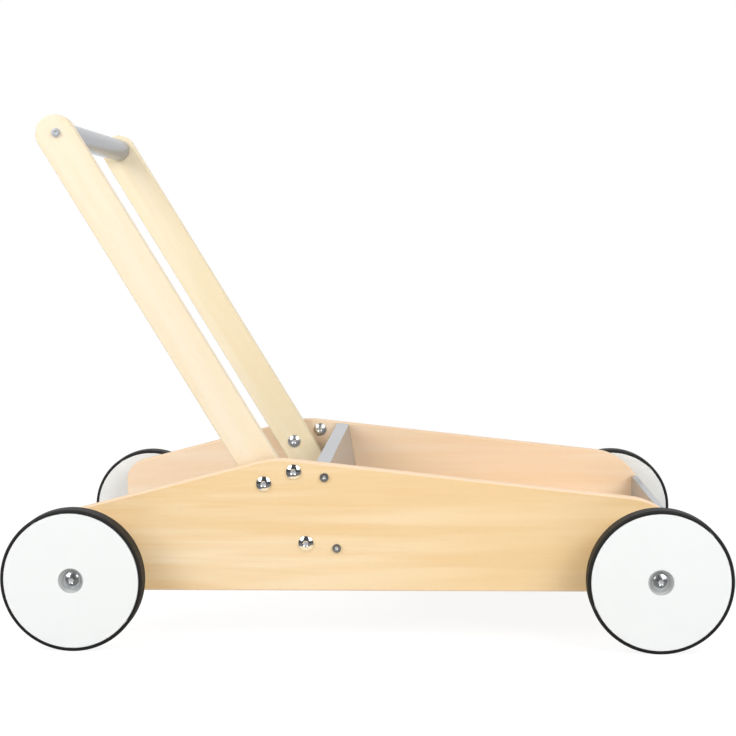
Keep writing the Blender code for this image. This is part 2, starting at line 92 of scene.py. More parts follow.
# Facets and shading
TOLERANCE = 1e-6
WHEEL_STEPS = 144
BAR_STEPS = 64
BOLT_STEPS = 48                     # a multiple of 6, for the hexagon sockets
ARC_STEPS = 18
SLAT_STEPS = 4 * ARC_STEPS + 2      # leaves no point on the line where a slat's two ends part
EDGE_STEPS = 3
LATHE_STEPS = 2 * EDGE_STEPS        # for the rounded corners of turned pieces
SMOOTH_ANGLE = math.radians(40)
QUARTER_TURN = math.pi / 2
HEXAGON_TURN = math.pi / 3

# The two sides and which way they lie, the two ends, and what is bolted or screwed to the boards
SIDES = {"right": -1, "left": 1}
ENDS = ("front", "rear")
HANDLE_BOLTS = ("pivot", "recline", "upright")
SCREWED_PANELS = ("divider", "front")

# Materials of a board's faces, and the second material, of a hub recess (a grey of painted shade) or a
# hexagon socket (a zinc of painted highlight)
OUTER_VENEER, INNER_VENEER, CUT_EDGE = range(3)
INSET = 1
FACE_ON = 0.99                      # least part of a veneered face's normal along Y

# Spans over which the studio changes, as the camera or polished metal sees it
UNDER_EDGE = (0.11, 0.15)           # from the painted shade under the walker out to either side
FRONT_EDGE = (-0.265, -0.225)       # from the floor painted dark before the walker to the strip of painted light before the boards
WARM_EDGE = (-0.16, -0.12)          # from that strip's painted warm reflection to the neutral floor
WHEEL_EDGE = (0.12, 0.20)           # from before the boards to before the wheels
WHEEL_CUT = 0.08                    # how much narrower the strip of painted light is before the wheels
SHADOW_FADE = (0.5, 1.5)            # from the walker's shadow to the plain white floor
SKY_FADE = (0.05, 0.50)             # from the dark to the white side, as the Y part of a direction

WHITE = (1, 1, 1)


def srgb(red, green, blue):
    """A colour from 0 to 255, as a colour chart gives it, in linear light."""
    shares = [part / 255 for part in (red, green, blue)]
    return tuple(c / 12.92 if c <= 0.04045 else ((c + 0.055) / 1.055) ** 2.4 for c in shares)


def size_of(name, description, default):
    return FloatProperty(name=name, description=description, default=default, unit='LENGTH', precision=5)


def angle_of(name, description, degrees):
    return FloatProperty(name=name, description=description, default=math.radians(degrees), subtype='ANGLE')


def colour_of(name, description, *chart):
    return FloatVectorProperty(name=name, description=description, default=srgb(*chart), subtype='COLOR',
                               min=0.0, max=1.0)


def level_of(name, description, default):
    return FloatProperty(name=name, description=description, default=default)


def power_of(name, description, default):
    return FloatProperty(name=name, description=description, default=default, unit='POWER')


def place_of(name, description, *place):
    return FloatVectorProperty(name=name, description=description, default=place, subtype='XYZ',
                               unit='LENGTH')


class WalkerSizes(bpy.types.PropertyGroup):
    """Sizes that the frame's boxes don't give."""
    clearance: size_of("Clearance", "Gap between two pieces that fit into each other", 0.0003)
    peak_x: size_of("Peak place", "Where the top edges of the side boards meet", -0.077)
    peak_height: size_of("Peak height", "Height of that corner over the lower edge", 0.1136)
    rear_slope: angle_of("Rear slope", "Fall of the top edge towards the rear", 14.5)
    front_slope: angle_of("Front slope", "Fall of the top edge towards the front", 6.39)
    peak_round: size_of("Peak radius", "Rounding of the peak", 0.075)
    rear_round: size_of("Rear radius", "Rounding of the upper rear corner", 0.020)
    front_round: size_of("Front radius", "Rounding of the upper front corner", 0.055)
    foot_round: size_of("Foot radius", "Rounding of the lower corners", 0.008)
    wood_edge: size_of("Wood edge", "Radius of the eased wooden edges", 0.0014)
    paint_edge: size_of("Panel edge", "Radius of the painted panels' edges", 0.002)
    floor_edge: size_of("Floor edge", "Radius of the floor panel's edges", 0.0005)
    groove_depth: size_of("Groove depth", "Depth of the floor's groove in the boards", 0.004)
    divider_lean: angle_of("Divider lean", "How far the divider leans back", 9.3)
    bar_edge: size_of("Bar edge", "Radius of the push bar's ends", 0.0014)
    bar_neck: size_of("Bar neck", "Depth of the shadow line at the push bar's ends", 0.0018)
    bar_gap: size_of("Bar gap", "Width of that line", 0.0012)
    disc_edge: size_of("Disc edge", "Radius of the wheel discs' rims", 0.0008)
    hub_radius: size_of("Hub recess", "Radius of the recess around the axle bolt", 0.0105)
    hub_depth: size_of("Hub depth", "Depth of that recess", 0.005)
    hub_edge: size_of("Hub edge", "Radius of the recess's mouth and foot", 0.0006)
    tread_round: size_of("Tread radius", "Rounding of the tyre's shoulders", 0.002)
    bolt_shank: size_of("Bolt shank", "Radius of the bolts", 0.003)
    bolt_head: size_of("Bolt head", "Height of a handle bolt's head", 0.0028)
    axle_head: size_of("Axle head", "Height of an axle bolt's head", 0.0034)
    head_rim: size_of("Head rim", "Straight edge under a rounded head", 0.0006)
    screw_rim: size_of("Screw rim", "Straight edge under a screw's flatter head", 0.0014)
    socket_cone: angle_of("Socket point", "Slope of the drilled floor of a hexagon", 24.0)
    bolt_socket: size_of("Bolt socket", "Half the width of a bolt's hexagon", 0.002)
    bolt_socket_depth: size_of("Bolt socket depth", "Depth of that hexagon", 0.0016)
    nut_socket_depth: size_of("Nut socket depth", "Depth of a cap nut's hexagon", 0.001)
    nut_bore_depth: size_of("Nut bore depth", "Depth of a cap nut's thread", 0.0015)
    nut_wall: size_of("Sleeve wall", "Wall of the sleeve nuts", 0.0015)
    screw_shank: size_of("Screw shank", "Radius of the wood screws", 0.0015)
    screw_head: size_of("Screw head", "Height of a screw's head", 0.0016)
    screw_socket: size_of("Screw socket", "Half the width of a screw's hexagon", 0.0011)
    screw_socket_depth: size_of("Screw socket depth", "Depth of that hexagon", 0.0008)
    socket_chamfer: size_of("Socket chamfer", "Bevel around the hexagons", 0.0003)
    tip_round: size_of("Tip radius", "Rounding at the end of a shank", 0.0005)
    ring_edge: size_of("Ring edge", "Radius of the edges of washers, spacers, bushes and inserts", 0.0004)


class WalkerColours(bpy.types.PropertyGroup):
    """Colours of the finishes."""
    beech: colour_of("Beech", "Lacquered outer veneer", 247, 217, 170)
    beech_pale: colour_of("Pale beech", "Outer veneer towards the rear", 250, 227, 190)
    beech_streak: colour_of("Beech streak", "Warmer bands of the outer veneer", 241, 206, 152)
    # painted light: a paler, pinker copy of the same beech for the boards' inner faces, standing in for the
    # light there
    beech_inside_painted_light: colour_of("Inner beech", "Paler inner veneer", 250, 227, 200)
    beech_inside_streak_painted_light: colour_of("Inner streak", "Warmer bands of the inner veneer", 247, 218, 184)
    ply_light: colour_of("Light ply", "Light layers of the cut edge", 248, 219, 186)
    ply_dark: colour_of("Dark ply", "Dark layers of the cut edge", 240, 206, 168)
    # painted light: one birch in two copies, darker on the right slat and lighter on the left, for the
    # different light each gets
    right_birch_painted_light: colour_of("Right birch", "Pale slat on the right", 246, 231, 205)
    right_streak: colour_of("Right streak", "Warmer bands of the right slat", 243, 225, 192)
    left_birch_painted_light: colour_of("Left birch", "Pale slat on the left", 250, 236, 205)
    left_streak: colour_of("Left streak", "Warmer bands of the left slat", 247, 229, 191)
    floor: colour_of("Floor ply", "Warmer ply of the box's floor", 243, 214, 166)
    floor_streak: colour_of("Floor streak", "Warmer bands of that ply", 236, 202, 150)
    pores: colour_of("Pores", "Short dark pores of all the wood", 190, 140, 90)
    grey: colour_of("Grey", "Blue-grey paint", 154, 157, 163)
    white: colour_of("White", "White paint of the wheels", 242, 244, 243)
    # painted shade: a grey darker than the wheels' white stands in for the shade in the hub recesses
    recess: colour_of("Recess", "Thin paint in the wheels' hub recesses", 204, 206, 205)
    rubber: colour_of("Rubber", "Black tyres", 21, 20, 19)
    rubber_dust: colour_of("Rubber dust", "Paler bloom on the tyres", 33, 32, 30)
    zinc: colour_of("Zinc", "Plated steel", 232, 234, 236)
    zinc_dark: colour_of("Dark zinc", "Duller patches of the plating", 208, 211, 215)
    nylon: colour_of("Nylon", "Spacers, bushes and washers", 232, 231, 224)


class WalkerStudio(bpy.types.PropertyGroup):
    """Camera, lamps and floor."""
    camera_place: place_of("Camera", "Where the camera stands", 0.06263, -1.35159, 0.33912)
    camera_yaw: angle_of("Yaw", "Turn of the camera to its left", 2.790)
    camera_pitch: angle_of("Pitch", "Tilt of the camera, up from level", -4.988)
    camera_roll: angle_of("Roll", "Lean of the camera", 0.456)
    camera_lens: FloatProperty(name="Lens", description="Focal length", default=70.91, unit='CAMERA')
    sky_light: level_of("Sky light", "Even light from all round", 0.44)
    dim_side: level_of("Dim side", "How bright polished metal sees the dark side of the studio", 0.07)
    # painted shade: the floor under the walker is dimmed for polished metal only
    painted_under_shade: level_of("Under light", "How bright polished metal sees the floor under the walker", 0.2)
    # painted reflection: the floor by the boards glows brighter than white for polished metal only
    painted_bounce_level: level_of("Bounce light", "How bright polished metal sees the floor by the boards", 1.45)
    lamp_power: power_of("Lamp power", "Power of each softbox in front", 17.5)
    fill_power: power_of("Fill power", "Power of the softbox behind", 7.0)
    lamp_width: size_of("Lamp width", "Width of each softbox", 0.9)
    lamp_height: size_of("Lamp height", "Height of each softbox", 1.2)
    left_lamp: place_of("Left lamp", "Where the left softbox stands", -1.25, -1.05, 1.20)
    right_lamp: place_of("Right lamp", "Where the right softbox stands", 1.10, -1.15, 1.20)
    fill_lamp: place_of("Fill lamp", "Where the softbox behind stands", 0.0, 1.60, 1.30)
    floor_size: size_of("Floor size", "Side of the studio floor", 40.0)
    floor_glow: level_of("Floor glow", "Brightness near the walker that no shadow takes away", 0.90)
    floor_shade: level_of("Floor shade", "Brightness near the walker that a shadow takes away", 0.15)
    floor_plain: colour_of("Plain floor", "Floor as it throws light back at the walker", 225, 225, 225)
    # painted reflection: a warm tint for the boards' bounce light on the floor, for polished metal only
    painted_bounce_reflection: colour_of("Floor bounce", "Floor before the boards in polished metal", 247, 222, 178)


# Modelling

def round_corner(bm, vert, offset, steps):
    bmesh.ops.bevel(bm, geom=[vert], offset=offset, offset_type='OFFSET', segments=steps, profile=0.5,
                    affect='VERTICES', material=-1)


def turned(corners, steps):
    """A solid turned about Z from half its section.

    Each corner is (radius, height, rounding), where rounding is what its arc takes off either side.
    """
    bm = bmesh.new()
    verts = [bm.verts.new((radius, 0, height)) for radius, height, _ in corners]
    bm.faces.new(verts)
    for vert, (_, _, rounding) in zip(verts, corners):
        if rounding:
            round_corner(bm, vert, rounding, LATHE_STEPS)
    bmesh.ops.delete(bm, geom=bm.faces[:], context='FACES_ONLY')
    on_axis = [edge for edge in bm.edges if max(vert.co.x for vert in edge.verts) < TOLERANCE]
    bmesh.ops.delete(bm, geom=on_axis, context='EDGES')
    bmesh.ops.spin(bm, geom=bm.verts[:] + bm.edges[:], cent=(0, 0, 0), axis=(0, 0, 1), angle=2 * math.pi,
                   steps=steps, use_merge=True, use_duplicate=False)
    bmesh.ops.remove_doubles(bm, verts=bm.verts[:], dist=TOLERANCE)
    return bm


def aimed(bm, place, side):
    """Turns a turned piece's +Z out of that side and moves it to its place."""
    turn = Matrix.Rotation(-side * QUARTER_TURN, 4, 'X')
    bmesh.ops.transform(bm, matrix=Matrix.Translation(place) @ turn, verts=bm.verts[:])
    return bm


def ring(inner, outer, height, edge):
    corners = [(inner, 0, edge), (inner, height, edge), (outer, height, edge), (outer, 0, edge)]
    return turned(corners, BOLT_STEPS)


class Fastener(NamedTuple):
    """Sizes of a kind of bolt, screw or nut."""
    head: float         # height of the head
    rim: float          # straight edge under the head's dome
    shank: float        # radius of the shank
    flats: float        # half the width of the hexagon socket
    depth: float        # depth of that socket


def headed(sizes, kind, radius, length, bore=None):
    """A domed head of this radius with a hexagon socket, on a shank of this length.

    The underside of the head is at z = 0, and the shank runs down from it. A bore (radius, depth) in the
    lower end makes it a nut.
    """
    floor = kind.head - kind.depth
    point = floor - kind.flats * math.tan(sizes.socket_cone)
    mouth = kind.flats / math.cos(HEXAGON_TURN / 2) + sizes.socket_chamfer
    rise = kind.head - kind.rim
    dome = (radius ** 2 + rise ** 2) / (2 * rise)
    start = math.asin(mouth / dome)
    half = (math.asin(radius / dome) - start) / 2
    lip = kind.head - dome * (1 - math.cos(start))
    # The dome's arc rounds the corner where the tangents at its two ends meet
    tip = dome / math.cos(half)
    crown = (tip * math.sin(start + half), kind.head - dome + tip * math.cos(start + half),
             dome * math.tan(half))
    corners = [(0, point, 0), (kind.flats, floor, 0), (kind.flats, lip - sizes.socket_chamfer, 0),
               (mouth, lip, 0), crown, (radius, kind.rim, 0), (radius, 0, 0)]
    if length:
        corners += [(kind.shank, 0, 0), (kind.shank, -length, sizes.tip_round)]
    if bore:
        bore_radius, bore_depth = bore
        top = bore_depth - length
        corners += [(bore_radius, -length, 0), (bore_radius, top, 0), (0, top, 0)]
    else:
        corners += [(0, -length, 0)]
    bm = turned(corners, BOLT_STEPS)
    for face in bm.faces:
        spot = face.calc_center_median()
        if spot.xy.length < kind.flats + TOLERANCE and point - TOLERANCE < spot.z < lip:
            face.material_index = INSET
    for vert in bm.verts:
        if abs(vert.co.xy.length - kind.flats) < TOLERANCE and vert.co.z > floor - TOLERANCE:
            angle = math.atan2(vert.co.y, vert.co.x) % HEXAGON_TURN - HEXAGON_TURN / 2
            vert.co.xy /= math.cos(angle)
    return bm


def thicken(bm, depth, edge):
    """Grows a flat outline along +Y into a board and eases its rims."""
    grown = bmesh.ops.extrude_face_region(bm, geom=bm.faces[:])
    moved = [item for item in grown["geom"] if isinstance(item, bmesh.types.BMVert)]
    bmesh.ops.translate(bm, verts=moved, vec=(0, depth, 0))
    rims = [item for item in bm.edges if abs(item.verts[0].co.y - item.verts[1].co.y) < TOLERANCE]
    bmesh.ops.bevel(bm, geom=rims, offset=edge, offset_type='OFFSET', segments=EDGE_STEPS, profile=0.5,
                    affect='EDGES', material=-1)
    bmesh.ops.recalc_face_normals(bm, faces=bm.faces[:])


def blank(corners, rounds, low, high, edge):
    """A board sawn to corners in X and Z, each rounded by its own radius, with eased rims."""
    bm = bmesh.new()
    verts = [bm.verts.new((corner.x, low, corner.y)) for corner in corners]
    bm.faces.new(verts)
    for place, (vert, radius) in enumerate(zip(verts, rounds)):
        if radius:
            before = corners[place - 1] - corners[place]
            after = corners[(place + 1) % len(corners)] - corners[place]
            round_corner(bm, vert, radius / math.tan(before.angle(after) / 2), ARC_STEPS)
    thicken(bm, high - low, edge)
    return bm


def new_object(bm, name):
    """An object in the scene with the mesh that bm holds."""
    mesh = bpy.data.meshes.new(name)
    bm.to_mesh(mesh)
    bm.free()
    made = bpy.data.objects.new(name, mesh)
    bpy.context.scene.collection.objects.link(made)
    return made


def drilled(bm, holes, slots=()):
    """Cuts round holes along Y, each (x, z, radius, low, high), and box slots, each two corners."""
    drills = bmesh.new()
    for x, z, radius, low, high in holes:
        spot = Matrix.Translation((x, (low + high) / 2, z)) @ Matrix.Rotation(QUARTER_TURN, 4, 'X')
        bmesh.ops.create_cone(drills, cap_ends=True, segments=BOLT_STEPS, radius1=radius, radius2=radius,
                              depth=high - low, matrix=spot)
    for low, high in slots:
        spot = Matrix.Translation((low + high) / 2) @ Matrix.Diagonal((*(high - low), 1))
        bmesh.ops.create_cube(drills, size=1, matrix=spot)
    work = new_object(bm, "drill_blank")
    tool = new_object(drills, "drill_tool")
    cut = work.modifiers.new("drills", 'BOOLEAN')
    cut.operation = 'DIFFERENCE'
    cut.solver = 'EXACT'
    cut.object = tool
    shaped = work.evaluated_get(bpy.context.evaluated_depsgraph_get())
    made = bmesh.new()
    made.from_mesh(shaped.data)
    for item in (work, tool):
        bpy.data.meshes.remove(item.data)
    return made


def through_holes(sizes, drills, low, high):
    """Holes along Y through a board between low and high, each at a spot, for a shank of some radius."""
    past = high.y - low.y
    return [(spot.x, spot.z, radius + sizes.clearance, low.y - past, high.y + past)
            for spot, radius in drills]


def middle(node):
    low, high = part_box(node)
    return (low + high) / 2


def reach(node):
    """A node's extent along X, Y and Z."""
    low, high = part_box(node)
    return high - low


def outer_level(node):
    """How far a node reaches from the middle plane, out to its own side."""
    return max(abs(corner.y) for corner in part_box(node))


def inner_level(node):
    return min(abs(corner.y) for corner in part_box(node))


def finish(node, bm, *materials):
    """Makes the piece that stands for a node: it rides where the node rides, and the node is hidden."""
    bmesh.ops.recalc_face_normals(bm, faces=bm.faces[:])
    piece = new_object(bm, node + "_finished")
    piece.data.shade_smooth()
    piece.data.set_sharp_from_angle(angle=SMOOTH_ANGLE)
    for material in materials:
        piece.data.materials.append(material)
    piece.modifiers.new("flat_faces", 'WEIGHTED_NORMAL').keep_sharp = True
    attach(piece, frame["nodes"][node]["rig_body"])
    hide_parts(node)


# Finishes

def feed(tree, node, links):
    """Sets a shader node's inputs, each to a value or to another node's output."""
    for name, value in links.items():
        socket = node.inputs[name]
        if isinstance(value, bpy.types.NodeSocket):
            tree.links.new(value, socket)
        elif socket.type == 'RGBA':
            socket.default_value = (*value, 1.0)
        else:
            socket.default_value = value


def made_node(tree, kind, links=None, **settings):
    """A shader node; links gives its inputs, by name or place."""
    made = tree.nodes.new(kind)
    for name, value in settings.items():
        setattr(made, name, value)
    feed(tree, made, links or {})
    return made


def new_finish(name):
    material = bpy.data.materials.new(name)
    material.use_nodes = True
    tree = material.node_tree
    return material, tree, tree.nodes["Principled BSDF"]


def pattern(tree, size, turn=(0, 0, 0), detail=3.0, warp=0.0):
    """Noise whose grains have this size along X, Y and Z, in metres, after a turn."""
    coords = made_node(tree, "ShaderNodeTexCoord").outputs["Object"]
    placed = made_node(tree, "ShaderNodeMapping", {"Vector": coords, "Rotation": turn, "Scale": size},
                       vector_type='TEXTURE').outputs["Vector"]
    noise = made_node(tree, "ShaderNodeTexNoise",
                      {"Vector": placed, "Scale": 1.0, "Detail": detail, "Distortion": warp})
    return noise.outputs["Fac"]


def specks(tree, size, detail):
    """Noise whose grains are alike in all directions."""
    return pattern(tree, (size, size, size), detail=detail)


def between(tree, value, low, high, new_low=0.0, new_high=1.0):
    """Maps a span of values to another span, and stops at its ends."""
    spans = {"Value": value, "From Min": low, "From Max": high, "To Min": new_low, "To Max": new_high}
    return made_node(tree, "ShaderNodeMapRange", spans).outputs["Result"]


def within(tree, share, low, high):
    """A share of 0 to 1 as a value from low to high."""
    return between(tree, share, 0, 1, low, high)


def worked_out(tree, operation, *values):
    """The result of a sum with values or other nodes' outputs."""
    return made_node(tree, "ShaderNodeMath", dict(enumerate(values)), operation=operation).outputs["Value"]


def mixed(tree, share, first, second, blend='MIX'):
    """Two colours, mixed by a share."""
    node = made_node(tree, "ShaderNodeMix", {"Factor": share}, data_type='RGBA', blend_type=blend)
    places = [place for place, socket in enumerate(node.inputs) if socket.type == 'RGBA']
    feed(tree, node, dict(zip(places, (first, second))))
    return next(socket for socket in node.outputs if socket.type == 'RGBA')


def dented(tree, shader, height, strength, depth):
    bump = made_node(tree, "ShaderNodeBump", {"Height": height, "Strength": strength, "Distance": depth})
    feed(tree, shader, {"Normal": bump.outputs["Normal"]})


class Grain(NamedTuple):
    """One kind of mark in wood."""
    length: float       # along the grain
    width: float
    detail: float
    warp: float
    low: float          # level of the noise where a mark starts to show
    high: float         # level where it shows most
    share: float        # how much of its own colour it shows then


BANDS = Grain(length=0.34, width=0.022, detail=2.0, warp=0.6, low=0.42, high=0.60, share=1.0)
RIBBONS = Grain(length=0.16, width=0.0085, detail=2.0, warp=0.3, low=0.45, high=0.62, share=0.60)
STREAKS = Grain(length=0.07, width=0.0026, detail=3.0, warp=0.2, low=0.30, high=0.70, share=0.30)
PORES = Grain(length=0.007, width=0.0007, detail=2.0, warp=0.0, low=0.60, high=0.74, share=0.10)
LACQUER_ROUGH = (0.40, 0.52)
PALE_FADE = (-0.12, 0.10)           # along X, from the paler rear to the plain front


def wood(name, light, streak, along, turn=(0, 0, 0), pale=None):
    """Lacquered wood with broad bands, fine streaks and short pores along one axis.

    pale, where given, is a lighter colour that the wood fades to towards the rear.
    """
    def marks(grain):
        size = [grain.length if axis == along else grain.width for axis in "XYZ"]
        return between(tree, pattern(tree, size, turn, grain.detail, grain.warp), grain.low, grain.high)

    def marked(grain, shown, plain, colour):
        return mixed(tree, within(tree, shown, 0, grain.share), plain, colour)

    material, tree, shader = new_finish(name)
    if pale:
        spot = made_node(tree, "ShaderNodeTexCoord").outputs["Object"]
        forward = made_node(tree, "ShaderNodeSeparateXYZ", {"Vector": spot}).outputs["X"]
        light = mixed(tree, between(tree, forward, *PALE_FADE), pale, light)
    streaks = marks(STREAKS)
    pores = marks(PORES)
    colour = marked(BANDS, marks(BANDS), light, streak)
    colour = marked(RIBBONS, marks(RIBBONS), colour, streak)
    colour = marked(STREAKS, streaks, colour, light)
    colour = marked(PORES, pores, colour, bpy.context.scene.walker_colours.pores)
    feed(tree, shader, {"Base Color": colour, "Roughness": within(tree, streaks, *LACQUER_ROUGH)})
    dented(tree, shader, pores, strength=0.15, depth=-0.0002)
    return material


def ply_edge(name, light, dark):
    """Cut edge of plywood: thin layers side by side across Y."""
    layer_scale = 120.0             # a light and a dark layer in each 2.6 mm
    layer_warp = 0.5
    fibre_size = (0.012, 0.0006, 0.012)
    material, tree, shader = new_finish(name)
    coords = made_node(tree, "ShaderNodeTexCoord").outputs["Object"]
    layers = made_node(tree, "ShaderNodeTexWave",
                       {"Vector": coords, "Scale": layer_scale, "Distortion": layer_warp},
                       bands_direction='Y').outputs["Fac"]
    fibres = between(tree, pattern(tree, fibre_size, detail=3.0), low=0.30, high=0.70)
    layered = mixed(tree, between(tree, layers, low=0.2, high=0.8, new_high=0.55), light, dark)
    colour = mixed(tree, within(tree, fibres, low=0, high=0.25), layered, dark)
    feed(tree, shader, {"Base Color": colour, "Roughness": within(tree, fibres, low=0.50, high=0.62)})
    dented(tree, shader, fibres, strength=0.12, depth=0.0002)
    return material


def paint(name, colour, rough, mottle):
    """Paint with a faint roller texture; mottle is how much darker its clouds are."""
    material, tree, shader = new_finish(name)
    clouds = between(tree, specks(tree, size=0.1, detail=1.0), low=0.3, high=0.7)
    orange_peel = specks(tree, size=0.0025, detail=1.0)
    darker = tuple(part * (1 - mottle) for part in colour)
    feed(tree, shader, {"Base Color": mixed(tree, clouds, colour, darker),
                        "Roughness": within(tree, clouds, *rough)})
    dented(tree, shader, orange_peel, strength=0.03, depth=0.00002)
    return material


def rubber(name, colour, dust):
    """Matt rubber with a little dust on it."""
    material, tree, shader = new_finish(name)
    grains = specks(tree, size=0.0008, detail=3.0)
    bloom = between(tree, specks(tree, size=0.02, detail=3.0), low=0.35, high=0.75)
    dusty = within(tree, bloom, low=0, high=0.6)
    feed(tree, shader, {"Base Color": mixed(tree, dusty, colour, dust),
                        "Roughness": between(tree, grains, low=0.3, high=0.7, new_low=0.58, new_high=0.74)})
    dented(tree, shader, grains, strength=0.20, depth=0.0002)
    return material


def plated(name, colour, dull, rough, metallic=1.0):
    """Zinc plating with a few duller patches."""
    material, tree, shader = new_finish(name)
    patches = between(tree, specks(tree, size=0.004, detail=4.0), low=0.35, high=0.70)
    feed(tree, shader, {"Base Color": mixed(tree, patches, colour, dull),
                        "Roughness": within(tree, patches, *rough), "Metallic": metallic})
    dented(tree, shader, specks(tree, size=0.0005, detail=3.0), strength=0.06, depth=0.0001)
    return material


def handle_lean():
    """How far the handle leans back at rest, its pivot, and the length from there to the push bar."""
    joint = next(item for item in frame["joints"] if item["name"] == "handle_tilt")
    pivot = Vector(joint["pos_m"])
    up = middle("handle_bar") - pivot
    return math.atan2(-up.x, up.z), pivot, up.length


def finish_named(name):
    """One of the walker's finishes, made at its first use."""
    if name in bpy.data.materials:
        return bpy.data.materials[name]
    colours = bpy.context.scene.walker_colours
    zinc = (colours.zinc, colours.zinc_dark)
    lean, _, _ = handle_lean()
    leaning = (0, -lean, 0)
    makers = {
        "beech_outside": lambda: wood(name, colours.beech, colours.beech_streak, "X",
                                      pale=colours.beech_pale),
        "beech_inside_painted_light": lambda: wood(name, colours.beech_inside_painted_light, colours.beech_inside_streak_painted_light, "X"),
        "plywood_edge": lambda: ply_edge(name, colours.ply_light, colours.ply_dark),
        "right_birch_painted_light": lambda: wood(name, colours.right_birch_painted_light, colours.right_streak, "Z", leaning),
        "left_birch_painted_light": lambda: wood(name, colours.left_birch_painted_light, colours.left_streak, "Z", leaning),
        "birch_floor": lambda: wood(name, colours.floor, colours.floor_streak, "X"),
        "grey_gloss": lambda: paint(name, colours.grey, rough=(0.15, 0.19), mottle=0.03),
        "white_satin": lambda: paint(name, colours.white, rough=(0.34, 0.44), mottle=0.02),
        "recess_painted_shade": lambda: paint(name, colours.recess, rough=(0.50, 0.60), mottle=0.06),
        "pale_nylon": lambda: paint(name, colours.nylon, rough=(0.36, 0.46), mottle=0.03),
        "black_rubber": lambda: rubber(name, colours.rubber, colours.rubber_dust),
        "bright_zinc": lambda: plated(name, *zinc, rough=(0.11, 0.19)),
        "soft_zinc": lambda: plated(name, *zinc, rough=(0.22, 0.29)),
        "dull_zinc": lambda: plated(name, *zinc, rough=(0.27, 0.35)),
        # painted light: a less metallic copy of the zinc, so the bar's screws show paler
        "satin_zinc_painted_light": lambda: plated(name, *zinc, rough=(0.42, 0.52), metallic=0.7),
        # painted highlight: a barely metallic copy of the zinc, so the sockets show bright
        "matt_zinc_painted_highlight": lambda: plated(name, *zinc, rough=(0.45, 0.55), metallic=0.2),
    }
    return makers[name]()


def metal(plating):
    """Finishes of a bolt, nut or screw, and of the socket in its head, which is a barely metallic zinc of
    painted highlight.
    """
    return finish_named(plating), finish_named("matt_zinc_painted_highlight")


# Pieces of more than one operator

def make_fastener(sizes, kind, node, side, plating):
    """A bolt or screw whose head is the node's outer end."""
    span = reach(node)
    place = middle(node)
    place.y = side * (outer_level(node) - kind.head)
    bm = headed(sizes, kind, span.x / 2, span.y - kind.head)
    finish(node, aimed(bm, place, side), *metal(plating))


def make_ring(sizes, node, side, material):
    """A washer, spacer, bush or insert around a bolt."""
    span = reach(node)
    place = middle(node)
    place.y = side * inner_level(node)
    bm = ring(sizes.bolt_shank + sizes.clearance, span.x / 2, span.y, sizes.ring_edge)
    finish(node, aimed(bm, place, side), finish_named(material))


def panel_screws(word, panel):
    """The nodes of the two screws in a panel's end on that side."""
    return [f"{word}_{panel}_{level}_screw" for level in ("top", "foot")]


# Operators

class WALKER_OT_side_boards(bpy.types.Operator):
    """Saws, drills and grooves the two side boards"""
    bl_idname = "walker.side_boards"
    bl_label = "Side Boards"

    def execute(self, context):
        sizes = context.scene.walker_sizes
        for word, side in SIDES.items():
            node = word + "_side_board"
            low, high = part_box(node)
            bm = blank(*self.outline(sizes, low, high), low.y, high.y, sizes.wood_edge)
            holes = through_holes(sizes, self.drills(sizes, word), low, high)
            bm = drilled(bm, holes, [self.groove(sizes, side, low, high)])
            bm.normal_update()
            for face in bm.faces:
                facing = face.normal.y * side
                veneer = OUTER_VENEER if facing > 0 else INNER_VENEER
                face.material_index = veneer if abs(facing) > FACE_ON else CUT_EDGE
            # inner faces take the paler beech of painted light
            finish(node, bm, *map(finish_named, ("beech_outside", "beech_inside_painted_light", "plywood_edge")))
        return {'FINISHED'}

    def outline(self, sizes, low, high):
        """Corners of the board and the radius of each."""
        peak = Vector((sizes.peak_x, low.z + sizes.peak_height))
        rear_top = Vector((low.x, peak.y - math.tan(sizes.rear_slope) * (peak.x - low.x)))
        front_top = Vector((high.x, peak.y - math.tan(sizes.front_slope) * (high.x - peak.x)))
        corners = [Vector((low.x, low.z)), rear_top, peak, front_top, Vector((high.x, low.z))]
        rounds = [sizes.foot_round, sizes.rear_round, sizes.peak_round, sizes.front_round, sizes.foot_round]
        return corners, rounds

    def drills(self, sizes, word):
        """Where the board is drilled through, and the radius of what goes in there."""
        radii = {f"{word}_{name}_bolt": sizes.bolt_shank for name in HANDLE_BOLTS}
        for panel in SCREWED_PANELS:
            radii.update(dict.fromkeys(panel_screws(word, panel), sizes.screw_shank))
        for end in ENDS:
            insert = f"{end}_{word}_axle_insert"
            radii[insert] = reach(insert).x / 2
        return [(middle(node), radius) for node, radius in radii.items()]

    def groove(self, sizes, side, low, high):
        """Two corners of the slot that the floor panel's edge sits in."""
        floor_low, floor_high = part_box("floor_panel")
        gap = Vector((sizes.clearance, 0, sizes.clearance))
        inner_face = low.y if side > 0 else high.y
        floor_low.y = inner_face - sizes.groove_depth
        floor_high.y = inner_face + sizes.groove_depth
        return floor_low - gap, floor_high + gap


